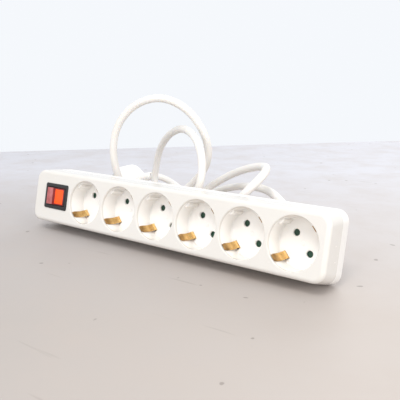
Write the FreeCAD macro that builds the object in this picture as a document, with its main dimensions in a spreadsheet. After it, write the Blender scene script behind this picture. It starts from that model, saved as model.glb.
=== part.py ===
import FreeCAD, Part
import math
import os
import Sketcher
from FreeCAD import Placement, Rotation, Vector

# Six-way socket strip for round earthed plugs, with a lit rocker switch and a supply cord.
# Every piece is drawn in the strip's own frame: X along the strip, Y from the face into
# the case, Z up the face. One placement then leans the strip back on its rear lower edge.

doc = FreeCAD.newDocument("power_strip")
sheet = doc.addObject("Spreadsheet::Sheet", "Sizes")

SIZES = [
    ("face_length", 318.0, "face outline, end to end"),
    ("face_height", 50.4, "face outline, edge to edge"),
    ("joint_length", 317.4, "outline where the two shells meet"),
    ("joint_height", 54.55, "outline where the two shells meet"),
    ("back_length", 316.0, "outline of the back"),
    ("back_height", 57.0, "outline of the back"),
    ("joint_depth", 22.0, "depth of the seam between the shells"),
    ("case_depth", 35.0, "face to back"),
    ("plinth_length", 304.0, "raised panel on the back"),
    ("plinth_height", 45.0, "raised panel on the back"),
    ("plinth_depth", 39.0, "face to the raised panel"),
    ("corner_radius", 9.5, "corners of the outlines"),
    ("face_round", 3.4, "rounding of the face edge"),
    ("back_round", 1.5, "rounding of the back edge"),
    ("shell_wall", 2.2, "wall of both shells"),
    ("face_wall", 2.5, "thickness of the face"),
    ("socket_pitch", 43.6, "socket to socket"),
    ("last_socket", 131.75, "centre of the socket furthest from the switch"),
    ("rim_radius", 20.25, "mouth of a socket"),
    ("well_floor_radius", 19.7, "socket at its floor"),
    ("well_wall_radius", 21.6, "outside of a socket cup"),
    ("well_depth", 17.5, "face to socket floor"),
    ("well_floor", 2.0, "thickness of the socket floor"),
    ("pin_spacing", 19.0, "pin to pin"),
    ("pin_turn", 132.0, "pin axis, degrees from +X"),
    ("pin_hole_radius", 2.7, "hole for one pin"),
    ("guide_width", 5.0, "guide rib"),
    ("shutter_radius", 13.0, "shutter disc"),
    ("shutter_thick", 2.0, "shutter disc"),
    ("shutter_turn", 36.0, "turn that opens a shutter, degrees"),
    ("post_radius", 2.5, "pivot post of a shutter"),
    ("pivot_gap", 0.05, "running clearance on a pivot"),
    ("strap_width", 6.4, "earth strap"),
    ("strap_thick", 0.6, "earth strap"),
    ("switch_centre", -126.05, "switch, along the strip"),
    ("bezel_length", 32.0, "switch bezel, along the strip"),
    ("bezel_height", 24.7, "switch bezel"),
    ("bezel_proud", 1.0, "bezel above the face"),
    ("switch_body_length", 28.2, "switch housing"),
    ("switch_body_height", 21.6, "switch housing"),
    ("switch_body_depth", 26.0, "switch housing"),
    ("rocker_length", 25.4, "rocker"),
    ("rocker_height", 16.8, "rocker"),
    ("rocker_tilt", 8.0, "rocker either side of level, degrees"),
    ("rocker_valley", 6.3, "slope of each half of the rocker, degrees"),
    ("rocker_pivot", 3.6, "face to the rocker's axis"),
    ("switch_rise", 0.95, "switch above the middle"),
    ("screw_row", 19.5, "case screws, from the middle"),
    ("screw_radius", 1.5, "case screw thread"),
    ("keyhole_radius", 4.25, "keyhole head opening"),
    ("keyhole_slot", 2.3, "keyhole slot, half width"),
    ("keyhole_offset", 17.5, "keyholes above the middle"),
    ("cord_diameter", 7.6, "supply cord"),
    ("inlet_depth", 27.8, "cord inlet, face to axis"),
    ("boot_turn", 35.0, "turn of the bend relief, degrees"),
    ("boot_radius", 39.0, "bend relief, centre line"),
    ("plug_radius", 19.0, "plug body"),
    ("plug_depth", 16.0, "plug body, face to shoulder"),
    ("plug_pin_radius", 2.4, "plug pin"),
    ("plug_pin_length", 19.0, "plug pin"),
    ("pin_root_radius", 2.0, "plug pin where it enters the body"),
    ("lean", 12.6, "strip leans back, degrees"),
    ("shift_back", -19.073, "strip's box centred on the origin"),
    ("shift_up", 35.15, "rear lower edge on the ground"),
]
for row, (alias, value, note) in enumerate(SIZES, start=1):
    sheet.set("A%d" % row, note)
    sheet.set("B%d" % row, str(value))
    sheet.setAlias("B%d" % row, alias)
doc.recompute()


def size(alias):
    return float(sheet.get(alias))


SOCKETS = range(1, 7)
parts = []          # the finished sub-parts, in the order they are made


def socket_x(number):
    return size("last_socket") - (6 - number) * size("socket_pitch")


def keep(obj, label, leaning=True):
    """Name a finished sub-part and set the strip's lean on it."""
    obj.Label = label
    if leaning:
        obj.Placement = Placement(Vector(0, 0, 0), Rotation(Vector(-1, 0, 0), size("lean")))
        obj.setExpression("Placement.Base.y", "Sizes.shift_back")
        obj.setExpression("Placement.Base.z", "Sizes.shift_up")
        obj.setExpression("Placement.Rotation.Angle", "Sizes.lean * 1deg")
    parts.append(obj)
    return obj


def bind(obj, **expressions):
    for prop, expression in expressions.items():
        obj.setExpression(prop.replace("__", "."), expression)
    return obj


def box(name, x, y, z, length, depth, height):
    """A box from its centre in X and Z and its front in Y; every argument is an expression."""
    obj = doc.addObject("Part::Box", name)
    return bind(obj, Length=length, Width=depth, Height=height,
                Placement__Base__x="(%s) - (%s) / 2" % (x, length),
                Placement__Base__y=y,
                Placement__Base__z="(%s) - (%s) / 2" % (z, height))


def rod(name, x, y, z, radius, depth):
    """A cylinder that runs along +Y from depth y."""
    obj = doc.addObject("Part::Cylinder", name)
    obj.Placement.Rotation = Rotation(Vector(1, 0, 0), -90)
    return bind(obj, Radius=radius, Height=depth, Placement__Base__x=x,
                Placement__Base__y=y, Placement__Base__z=z)


def cone(name, x, y, z, front_radius, back_radius, depth):
    obj = doc.addObject("Part::Cone", name)
    obj.Placement.Rotation = Rotation(Vector(1, 0, 0), -90)
    return bind(obj, Radius1=front_radius, Radius2=back_radius, Height=depth,
                Placement__Base__x=x, Placement__Base__y=y, Placement__Base__z=z)


def fuse(name, pieces):
    obj = doc.addObject("Part::MultiFuse", name)
    obj.Shapes = pieces
    return obj


def cut(name, base, tool):
    obj = doc.addObject("Part::Cut", name)
    obj.Base = base
    obj.Tool = tool
    return obj


def solid(name, shape):
    obj = doc.addObject("Part::Feature", name)
    obj.Shape = shape if shape.Placement.isIdentity() else Part.makeCompound([shape])
    return obj


# ---- outlines of the case: rounded rectangles across the strip's depth ----

def outline(body, name, length, height, depth, radius):
    """A rounded rectangle on the body's XZ plane, moved back to the given depth."""
    plane = [f for f in body.Origin.OriginFeatures if f.Role == "XZ_Plane"][0]
    sketch = body.newObject("Sketcher::SketchObject", name)
    sketch.AttachmentSupport = [(plane, "")]
    sketch.MapMode = "FlatFace"
    half, rise, corner = 158.0, 26.0, 9.0       # first guess, the constraints set the real size
    ends = [(half, corner - rise), (half, rise - corner), (half - corner, rise), (corner - half, rise),
            (-half, rise - corner), (-half, corner - rise), (corner - half, -rise), (half - corner, -rise)]
    for side in range(4):
        first, second = ends[2 * side], ends[2 * side + 1]
        sketch.addGeometry(Part.LineSegment(Vector(*first, 0), Vector(*second, 0)), False)
    for side, (cx, cy) in enumerate([(1, 1), (-1, 1), (-1, -1), (1, -1)]):
        circle = Part.Circle(Vector(cx * (half - corner), cy * (rise - corner), 0), Vector(0, 0, 1), corner)
        start = side * math.pi / 2
        sketch.addGeometry(Part.ArcOfCircle(circle, start, start + math.pi / 2), False)
    for side in range(4):
        sketch.addConstraint(Sketcher.Constraint("Tangent", side, 2, 4 + side, 1))
        sketch.addConstraint(Sketcher.Constraint("Tangent", 4 + side, 2, (side + 1) % 4, 1))
    for side, way in enumerate(["Vertical", "Horizontal", "Vertical", "Horizontal"]):
        sketch.addConstraint(Sketcher.Constraint(way, side))
    for corner_arc in (5, 6, 7):
        sketch.addConstraint(Sketcher.Constraint("Equal", 4, corner_arc))
    sketch.addConstraint(Sketcher.Constraint("Symmetric", 4, 3, 6, 3, -1, 1))
    for label, geometry, value, expression in (
            ("radius", 4, corner, radius), ("rise", 1, rise, "(%s) / 2" % height),
            ("reach", 0, half, "(%s) / 2" % length)):
        if label == "radius":
            index = sketch.addConstraint(Sketcher.Constraint("Radius", geometry, value))
        elif label == "rise":
            index = sketch.addConstraint(Sketcher.Constraint("DistanceY", -1, 1, geometry, 1, value))
        else:
            index = sketch.addConstraint(Sketcher.Constraint("DistanceX", -1, 1, geometry, 1, value))
        sketch.renameConstraint(index, label)
        sketch.setExpression("Constraints." + label, expression)
    sketch.setExpression("AttachmentOffset.Base.z", "-(%s)" % depth)
    return sketch


def loft(body, kind, name, sections):
    feature = body.newObject(kind, name)
    feature.Profile = sections[0]
    feature.Sections = sections[1:]
    feature.Ruled = True
    return feature


def rounded_end(body, name, length, height, depth, radius, rounding, inward):
    """Outlines that shrink along a quarter round; the first one is the end itself."""
    sections = []
    for step in range(6):
        a = math.radians(18.0 * step)
        inset = "(%s) * %.5f" % (rounding, 1 - math.sin(a))
        reach = "(%s) * %.5f * %d" % (rounding, 1 - math.cos(a), inward)
        sections.append(outline(body, "%s_%d" % (name, step), "%s - 2 * %s" % (length, inset),
                                "%s - 2 * %s" % (height, inset), "%s + %s" % (depth, reach),
                                "%s - %s" % (radius, inset)))
    return sections


def shell(name, end, seam, rounding, inward, hollow_end, hollow_seam):
    """One half of the case: a block from its rounded end to the seam, then hollowed."""
    body = doc.addObject("PartDesign::Body", name + "_body")
    sections = rounded_end(body, name + "_end", *end, rounding, inward)
    sections.append(outline(body, name + "_seam", *seam))
    loft(body, "PartDesign::AdditiveLoft", name + "_block", sections)
    doc.recompute()
    before = body.Shape.Volume
    inner = [outline(body, name + "_hollow_end", *hollow_end), outline(body, name + "_hollow_seam", *hollow_seam)]
    loft(body, "PartDesign::SubtractiveLoft", name + "_hollow", inner)
    doc.recompute()
    print("%s: hollow takes %.1f cm3 of %.1f cm3" % (name, (before - body.Shape.Volume) / 1000, before / 1000))
    return body


INNER = "Sizes.%s - 2 * Sizes.shell_wall"
face_outline = ("Sizes.face_length", "Sizes.face_height", "0", "Sizes.corner_radius")
joint_outline = ("Sizes.joint_length", "Sizes.joint_height", "Sizes.joint_depth", "Sizes.corner_radius")
back_outline = ("Sizes.back_length", "Sizes.back_height", "Sizes.case_depth", "Sizes.corner_radius")
inner_radius = "Sizes.corner_radius - Sizes.shell_wall"
face_hollow = (INNER % "face_length", INNER % "face_height", "Sizes.face_wall", inner_radius)
joint_hollow = (INNER % "joint_length", INNER % "joint_height", "Sizes.joint_depth", inner_radius)
back_hollow = (INNER % "back_length", INNER % "back_height",
               "Sizes.case_depth - Sizes.shell_wall", inner_radius)

SCREW_PLACES = [(x, side) for x in (-64.45, 22.75, 109.95, -152.0, 152.0) for side in (-1, 1)]


def screw_z(x, side):
    """The end screws stand nearer the middle, clear of the rounded corners."""
    return side * (size("screw_row") if abs(x) < 140 else size("screw_row") - 3.0)


def at(value):
    return "%.4f" % value


# ---- front shell, with its six mouths, the switch opening and the screw bosses ----

def make_cover():
    body = shell("cover", face_outline, joint_outline, "Sizes.face_round", 1, face_hollow, joint_hollow)
    bosses = [rod("cover_boss_%d" % i, at(x), "Sizes.face_wall - 0.5", at(screw_z(x, side)), "3.4",
                  "Sizes.joint_depth - Sizes.face_wall + 0.5")
              for i, (x, side) in enumerate(SCREW_PLACES)]
    pilots = [rod("cover_pilot_%d" % i, at(x), "7", at(screw_z(x, side)), "Sizes.screw_radius + 0.1",
                  "Sizes.joint_depth")
              for i, (x, side) in enumerate(SCREW_PLACES)]
    mouths = []
    for number in SOCKETS:
        mouths.append(rod("mouth_%d" % number, at(socket_x(number)), "-1", "0", "Sizes.rim_radius",
                          "Sizes.face_wall + 2"))
        mouths.append(cone("mouth_edge_%d" % number, at(socket_x(number)), "-0.01", "0",
                           "Sizes.rim_radius + 0.5", "Sizes.rim_radius", "0.5"))
    opening = box("switch_opening", "Sizes.switch_centre", "-1", "Sizes.switch_rise",
                  "Sizes.switch_body_length + 0.4", "Sizes.face_wall + 2", "Sizes.switch_body_height + 0.4")
    full = fuse("cover_full", [body] + bosses)
    keep(cut("cover", full, fuse("cover_openings", mouths + pilots + [opening])), "cover")


# ---- back shell, with its raised panel, screw pillars, keyhole pockets and the cord inlet ----

KEYHOLES = (2, 5)


def make_base():
    body = shell("base", back_outline, joint_outline, "Sizes.back_round", -1, back_hollow, joint_hollow)
    near = outline(body, "plinth_near", "Sizes.plinth_length", "Sizes.plinth_height",
                   "Sizes.case_depth - 0.5", "Sizes.corner_radius - 2")
    far = outline(body, "plinth_far", "Sizes.plinth_length - 1.2", "Sizes.plinth_height - 1.2",
                  "Sizes.plinth_depth", "Sizes.corner_radius - 2.5")
    loft(body, "PartDesign::AdditiveLoft", "base_plinth", [near, far])
    near = outline(body, "plinth_room_near", "Sizes.plinth_length - 5", "Sizes.plinth_height - 5",
                   "Sizes.case_depth - Sizes.shell_wall - 0.5", "Sizes.corner_radius - 4")
    far = outline(body, "plinth_room_far", "Sizes.plinth_length - 5", "Sizes.plinth_height - 5",
                  "Sizes.plinth_depth - 2", "Sizes.corner_radius - 4")
    loft(body, "PartDesign::SubtractiveLoft", "plinth_room", [near, far])
    doc.recompute()
    solids, holes = [body], []
    for i, (x, side) in enumerate(SCREW_PLACES):
        z = at(screw_z(x, side))
        solids.append(rod("pillar_%d" % i, at(x), "Sizes.joint_depth", z, "3.9",
                          "Sizes.case_depth - Sizes.joint_depth - 0.5"))
        holes.append(rod("pillar_bore_%d" % i, at(x), "Sizes.joint_depth - 1", z, "Sizes.screw_radius + 0.25",
                         "Sizes.case_depth"))
        holes.append(rod("pillar_recess_%d" % i, at(x), "Sizes.case_depth - 7", z, "3.0", "14"))
    for number in KEYHOLES:
        x = at(socket_x(number))
        solids.append(box("keyhole_block_%d" % number, x, "Sizes.plinth_depth - 8", "Sizes.keyhole_offset - 0.6",
                          "18.6", "7", "10"))
        front = "Sizes.plinth_depth - 2 - 4.2"
        holes.append(box("keyhole_room_%d" % number, x, front, "Sizes.keyhole_offset - 1", "15.8", "4.2", "7.6"))
        holes.append(rod("keyhole_head_%d" % number, "%s - 3.4" % x, front, "Sizes.keyhole_offset - 1",
                         "3.6", "12"))
        holes.append(box("keyhole_slot_%d" % number, "%s + 1.5" % x, front, "Sizes.keyhole_offset - 1", "8",
                         "12", "3.6"))
        holes.append(rod("keyhole_end_%d" % number, "%s + 5.5" % x, front, "Sizes.keyhole_offset - 1",
                         "1.8", "12"))
    inlet = doc.addObject("Part::Cylinder", "inlet_hole")
    inlet.Placement.Rotation = Rotation(Vector(0, 1, 0), 90)
    bind(inlet, Radius="4.95", Height="10", Placement__Base__x="-Sizes.back_length / 2 - 4",
         Placement__Base__y="Sizes.inlet_depth", Placement__Base__z="0")
    keep(cut("base_cut", fuse("base_full", solids), fuse("base_openings", holes + [inlet])), "base")


# ---- sockets: a cup behind each mouth, with pin holes, strap slots, guides and a pivot post ----

def turned(x, y, angle, radius):
    """A point on a circle about a socket's axis, at the given depth."""
    a = math.radians(angle)
    return Vector(x + radius * math.cos(a), y, radius * math.sin(a))


def radial_box(name, number, angle, inner, outer, width, front, depth):
    """A box that points outwards from a socket's axis, as a cutter or a rib."""
    obj = doc.addObject("Part::Box", name)
    obj.Length, obj.Width, obj.Height = outer - inner, width, depth
    a = math.radians(angle)
    outwards = Vector(math.cos(a), 0, math.sin(a))
    across = Vector(0, 1, 0).cross(outwards)
    corner = turned(socket_x(number), front, angle, inner) - across * (width / 2)
    obj.Placement = Placement(corner, Rotation(outwards, across, Vector(0, 1, 0), "XYZ"))
    return obj


def pin_place(number, side):
    return turned(socket_x(number), 0, size("pin_turn") + side, size("pin_spacing") / 2)


def make_well(number):
    x = at(socket_x(number))
    name = "well_%d" % number
    back = "Sizes.well_depth + Sizes.well_floor"
    cup = rod(name + "_cup", x, "Sizes.face_wall", "0", "Sizes.well_wall_radius", back + " - Sizes.face_wall")
    room = cone(name + "_room", x, "Sizes.face_wall - 0.01", "0", "Sizes.rim_radius",
                "Sizes.well_floor_radius", "Sizes.well_depth - Sizes.face_wall + 0.01")
    post = rod(name + "_post", x, back + " - 0.5", "0", "Sizes.post_radius", "Sizes.shutter_thick + 1.1")
    solids, holes = [cut(name + "_hollow", cup, room), post], []
    for side in (0, 180):
        angle = size("pin_turn") + side
        pin = pin_place(number, side)
        holes.append(rod("%s_pin_%d" % (name, side), at(pin.x), "Sizes.well_depth - 1", at(pin.z),
                         "Sizes.pin_hole_radius", "6"))
        holes.append(radial_box("%s_slot_%d" % (name, side), number, angle - 90, 15.2, 19.0, 7.2,
                                size("well_depth") - 1, 6))
        solids.append(radial_box("%s_guide_%d" % (name, side), number, angle, 18.2, 20.9,
                                 size("guide_width"), size("face_wall") + 1.0, 14.4))
    keep(cut(name, fuse(name + "_full", solids), fuse(name + "_holes", holes)), "socket_well_%d" % number)


def make_shutter(number):
    """A disc behind the socket floor; its holes line up with the pins once it has turned."""
    x = at(socket_x(number))
    name = "shutter_%d" % number
    front = "Sizes.well_depth + Sizes.well_floor + 0.3"
    disc = rod(name + "_disc", x, front, "0", "Sizes.shutter_radius", "Sizes.shutter_thick")
    holes = [rod(name + "_bore", x, "15", "0", "Sizes.post_radius + Sizes.pivot_gap", "12")]
    for side in (0, 180):
        hole = turned(socket_x(number), 0, size("pin_turn") - size("shutter_turn") + side, size("pin_spacing") / 2)
        holes.append(rod("%s_hole_%d" % (name, side), at(hole.x), "15", at(hole.z),
                         "Sizes.pin_hole_radius + 0.1", "12"))
    keep(cut(name + "_cut", disc, fuse(name + "_holes", holes)), name)


def make_carrier():
    """A plate on ten feet that keeps the shutters on their posts and holds the contacts."""
    left, right = socket_x(1) - 18.0, socket_x(6) + 17.0
    plate = box("carrier_plate", at((left + right) / 2), "22.5", "0", at(right - left), "1.5", "25")
    solids, holes = [plate], []
    for gap in range(1, 6):
        for side in (-1, 1):
            solids.append(rod("carrier_foot_%d_%d" % (gap, side), at(socket_x(gap) + size("socket_pitch") / 2),
                              "23.5", at(side * 10.8), "1.6", "Sizes.plinth_depth - 2 - 23.5"))
    for number in SOCKETS:
        holes.append(rod("carrier_post_%d" % number, at(socket_x(number)), "20", "0", "Sizes.post_radius + 0.4", "8"))
        for side in (0, 180):
            pin = pin_place(number, side)
            holes.append(rod("carrier_pin_%d_%d" % (number, side), at(pin.x), "20", at(pin.z), "2.8", "8"))
            holes.append(radial_box("carrier_slot_%d_%d" % (number, side), number, size("pin_turn") + side - 90,
                                    15.0, 22.0, 7.6, 20, 8))
    keep(cut("carrier_cut", fuse("carrier_full", solids), fuse("carrier_holes", holes)), "contact_carrier")


def make_springs():
    """Return springs of the shutters, one group: a ring of wire round each post."""
    rings = []
    for number in SOCKETS:
        ring = doc.addObject("Part::Torus", "spring_%d" % number)
        ring.Placement.Rotation = Rotation(Vector(1, 0, 0), -90)
        bind(ring, Radius1="4.2", Radius2="0.35", Placement__Base__x=at(socket_x(number)),
             Placement__Base__y="24.4", Placement__Base__z="0")
        rings.append(ring)
    group = doc.addObject("Part::Compound", "spring_group")
    group.Links = rings
    keep(group, "shutter_springs")


# ---- current bars: a strip along the case with a sprung sleeve at every pin ----

def make_bar(name, side, left):
    """side is 1 for the upper row of pins and -1 for the lower one."""
    row = size("pin_spacing") / 2 * math.sin(math.radians(size("pin_turn")))
    right = socket_x(6) + 11
    strip = box(name + "_strip", at((left + right) / 2), "31.4", at(side * row), at(right - left), "0.8", "3.4")
    blocks, holes = [], []
    for number in SOCKETS:
        pin = pin_place(number, 0 if side > 0 else 180)
        blocks.append(box("%s_block_%d" % (name, number), at(pin.x), "24.4", at(side * row), "6.2", "7.2", "6.2"))
        holes.append(rod("%s_way_%d" % (name, number), at(pin.x), "20", at(side * row), "2.3", "16"))
        holes.append(box("%s_slit_%d" % (name, number), at(pin.x), "24", at(side * row), "9", "5", "0.8"))
    keep(cut(name + "_cut", fuse(name + "_full", [strip] + blocks), fuse(name + "_ways", holes)), name)


def strap(points, width, thick):
    """A bent strap in a plane: local X outwards, local Y into the strip, width across."""
    left, right = [], []
    for i, (px, py) in enumerate(points):
        before = points[max(i - 1, 0)]
        after = points[min(i + 1, len(points) - 1)]
        one = Vector(px - before[0], py - before[1], 0)
        two = Vector(after[0] - px, after[1] - py, 0)
        if one.Length < 1e-6:
            one = two
        if two.Length < 1e-6:
            two = one
        one.normalize()
        two.normalize()
        normal = Vector(-one.y - two.y, one.x + two.x, 0).normalize()
        reach = thick / 2 / max(normal.dot(Vector(-one.y, one.x, 0)), 0.5)
        left.append(Vector(px, py, -width / 2) + normal * reach)
        right.append(Vector(px, py, -width / 2) - normal * reach)
    loop = left + right[::-1]
    face = Part.Face(Part.makePolygon(loop + [loop[0]]))
    return face.extrude(Vector(0, 0, width))


EARTH_ARM = [(0.0, 34.6), (16.6, 34.6), (17.6, 33.6), (17.6, 21.6), (16.2, 20.0), (15.8, 16.6), (18.6, 11.6),
             (19.4, 1.4)]


def make_earth_bar():
    """The earth strip near the back, with two sprung clips that rise into every socket."""
    left, right = -110.0, socket_x(6) + 14
    shape = Part.makeBox(right - left, 0.8, 6.0, Vector(left, 34.2, -3))
    arm = strap(EARTH_ARM, size("strap_width"), size("strap_thick"))
    for number in SOCKETS:
        for side in (-90, 90):
            angle = math.radians(size("pin_turn") + side)
            placed = arm.copy()
            outwards = Vector(math.cos(angle), 0, math.sin(angle))
            inwards = Vector(0, 1, 0)
            placed.Placement = Placement(Vector(socket_x(number), 0, 0),
                                         Rotation(outwards, inwards, outwards.cross(inwards), "XYZ"))
            shape = shape.fuse(placed)
    for number in KEYHOLES:      # corners nibbled off to clear the keyhole pockets
        shape = shape.cut(Part.makeBox(19.4, 8, 14, Vector(socket_x(number) - 9.7, 30.5, 11.5)))
    keep(solid("earth_bar", shape.removeSplitter()), "earth_bar")


# ---- rocker switch: black housing, lit rocker, spring plunger, see-saw bridge, blades, lamp ----

def prism(points, height, rise):
    """A block with the given outline in X and Y, centred on the switch."""
    face = Part.Face(Part.makePolygon([Vector(px, py, rise - height / 2) for px, py in points + points[:1]]))
    return face.extrude(Vector(0, 0, height))


def pivot_rod(x, y, radius, height):
    return Part.makeCylinder(radius, height, Vector(x, y, size("switch_rise") - height / 2), Vector(0, 0, 1))


def make_switch():
    x = size("switch_centre")
    rise = size("switch_rise")
    pivot = size("rocker_pivot")
    bezel = box("bezel_plate", "Sizes.switch_centre", "-Sizes.bezel_proud", "Sizes.switch_rise",
                "Sizes.bezel_length", "Sizes.bezel_proud", "Sizes.bezel_height")
    doc.recompute()
    bezel_round = doc.addObject("Part::Chamfer", "bezel_round")
    bezel_round.Base = bezel
    bezel_round.Edges = [(i, 0.6, 0.6) for i, edge in enumerate(bezel.Shape.Edges, start=1)
                         if edge.BoundBox.YMax < -size("bezel_proud") + 1e-3]
    body = box("switch_body", "Sizes.switch_centre", "-0.2", "Sizes.switch_rise", "Sizes.switch_body_length",
               "Sizes.switch_body_depth + 0.2", "Sizes.switch_body_height")
    window = box("switch_window", "Sizes.switch_centre", "-3", "Sizes.switch_rise", "Sizes.rocker_length + 0.8",
                 "19", "Sizes.rocker_height + 0.7")
    room = box("switch_room", "Sizes.switch_centre", "15.5", "Sizes.switch_rise", "24", "8.9", "15")
    axle = doc.addObject("Part::Cylinder", "switch_axle_hole")
    axle.Radius = 1.25 + size("pivot_gap")
    axle.Height = size("switch_body_height") - 1.2
    axle.Placement.Base = Vector(x, pivot, rise - axle.Height.Value / 2)
    slots = [box("blade_slot_%d" % i, at(x + dx), "22", "Sizes.switch_rise", "1", "8", "6.6")
             for i, dx in enumerate((-9, 0, 9))]
    keep(cut("switch_cut", fuse("switch_full", [bezel_round, body]),
             fuse("switch_cuts", [window, room, axle] + slots)), "switch_housing")

    # level position first: two facets meet in a shallow valley over the axis, ends follow an arc
    half = size("rocker_length") / 2
    valley = 4.0
    slope = math.tan(math.radians(size("rocker_valley")))
    end_top = valley + half * 0.91 * slope
    end_x = math.sqrt(half ** 2 - end_top ** 2)
    arc = [(half * math.cos(a), half * math.sin(a))
           for a in (math.radians(d) for d in (20, 14, 8, 2, -4))]
    right = [(0, valley), (end_x, end_top)] + arc
    lower = [(7.5, -5.0), (-7.5, -5.0)]
    outline_up = right + lower + [(-px, py) for px, py in arc[::-1]] + [(-end_x, end_top)]
    shape = prism([(x + px, pivot - py) for px, py in outline_up], size("rocker_height"), rise)
    shape = shape.fuse(pivot_rod(x, pivot, 1.25, size("switch_body_height") - 1.6))
    stem = Part.makeCylinder(2.6, 6.0, Vector(x, pivot + 4.5, rise), Vector(0, 1, 0))
    plunger_way = Part.makeCylinder(1.75, 9.0, Vector(x, pivot + 3.0, rise), Vector(0, 1, 0))
    shape = shape.fuse(stem).cut(plunger_way).removeSplitter()
    tilt = size("rocker_tilt")
    shape.rotate(Vector(x, pivot, 0), Vector(0, 0, 1), tilt)
    keep(solid("rocker", shape), "rocker")

    plunger = Part.makeCylinder(1.7, 7.9, Vector(x, pivot + 4.3, rise), Vector(0, 1, 0))
    plunger = plunger.fuse(Part.makeSphere(1.7, Vector(x, pivot + 12.2, rise))).removeSplitter()
    plunger.rotate(Vector(x, pivot, 0), Vector(0, 0, 1), tilt)
    keep(solid("rocker_plunger", plunger), "rocker_plunger")

    bridge = prism([(x - 10, 17.2), (x - 3, 17.9), (x + 3, 17.9), (x + 10, 17.2), (x + 10, 18.0),
                    (x + 3, 18.7), (x - 3, 18.7), (x - 10, 18.0)], 6.0, rise)
    bridge.rotate(Vector(x, 18.7, 0), Vector(0, 0, 1), -8)
    keep(solid("switch_bridge", bridge), "switch_bridge")

    blades = [Part.makeBox(0.8, 34.0 - front, 6.2, Vector(x + dx - 0.4, front, rise - 3.1))
              for dx, front in ((-9, 19.75), (0, 19.05), (9, 19.75))]
    keep(solid("switch_blades", Part.makeCompound(blades)), "switch_blades")

    lamp = Part.makeCylinder(1.6, 5.4, Vector(x + 7.4, 12.4, rise - 2.7), Vector(0, 0, 1))
    keep(solid("switch_lamp", lamp), "switch_lamp")


# ---- case screws, one group ----

def make_screws():
    screws = []
    for i, (x, side) in enumerate(SCREW_PLACES):
        z = at(screw_z(x, side))
        shank = rod("screw_shank_%d" % i, at(x), "9", z, "Sizes.screw_radius", "Sizes.case_depth - 16")
        head = rod("screw_head_%d" % i, at(x), "Sizes.case_depth - 7", z, "2.8", "2")
        recess = fuse("screw_recess_%d" % i, [
            box("screw_cross_%d_%d" % (i, k), at(x), "Sizes.case_depth - 6.2", z,
                ("0.8", "3.2")[k], "3", ("3.2", "0.8")[k]) for k in range(2)])
        screws.append(cut("screw_%d" % i, fuse("screw_full_%d" % i, [shank, head]), recess))
    group = doc.addObject("Part::Compound", "screw_group")
    group.Links = screws
    keep(group, "case_screws")


# ---- tubes that follow straight runs joined by arcs ----

def tube_path(points, share=0.45):
    """Edges of a route: every corner is an arc as large as its two runs allow."""
    edges, radii = [], []
    here = points[0]
    for before, corner, after in zip(points, points[1:], points[2:]):
        back = corner - before
        on = after - corner
        reach = share * min(back.Length, on.Length)
        back.normalize()
        on.normalize()
        turn = back.getAngle(on)
        radius = reach / math.tan(turn / 2)
        start, end = corner - back * reach, corner + on * reach
        inward = (on - back).normalize()
        middle = corner + inward * (radius / math.cos(turn / 2) - radius)
        edges.append(Part.LineSegment(here, start).toShape())
        edges.append(Part.Arc(start, middle, end).toShape())
        radii.append(radius)
        here = end
    edges.append(Part.LineSegment(here, points[-1]).toShape())
    return Part.Wire(edges), radii


def tube(points, diameter):
    path, radii = tube_path(points)
    way = (points[1] - points[0]).normalize()
    ring = Part.Wire(Part.Circle(points[0], way, diameter / 2).toShape())
    return path.makePipeShell([ring], True, True), path.Length, radii


# ---- cord inlet: a bush in the end wall with a bent, tapered relief, a clamp and the cores ----

def relief_ring(length, radius):
    """A circle round the relief's centre line, a length out from the end wall."""
    bend = size("boot_radius")
    turn = length / bend
    point = Vector(-size("back_length") / 2 + 0.5 - bend * math.sin(turn),
                   size("inlet_depth") + bend * (1 - math.cos(turn)), 0)
    return Part.Wire(Part.Circle(point, Vector(-math.cos(turn), math.sin(turn), 0), radius).toShape())


def relief_loft(first, last, count=7):
    total = size("boot_radius") * math.radians(size("boot_turn"))
    return Part.makeLoft([relief_ring(total * k / (count - 1), first + (last - first) * k / (count - 1))
                          for k in range(count)], True)


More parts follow.
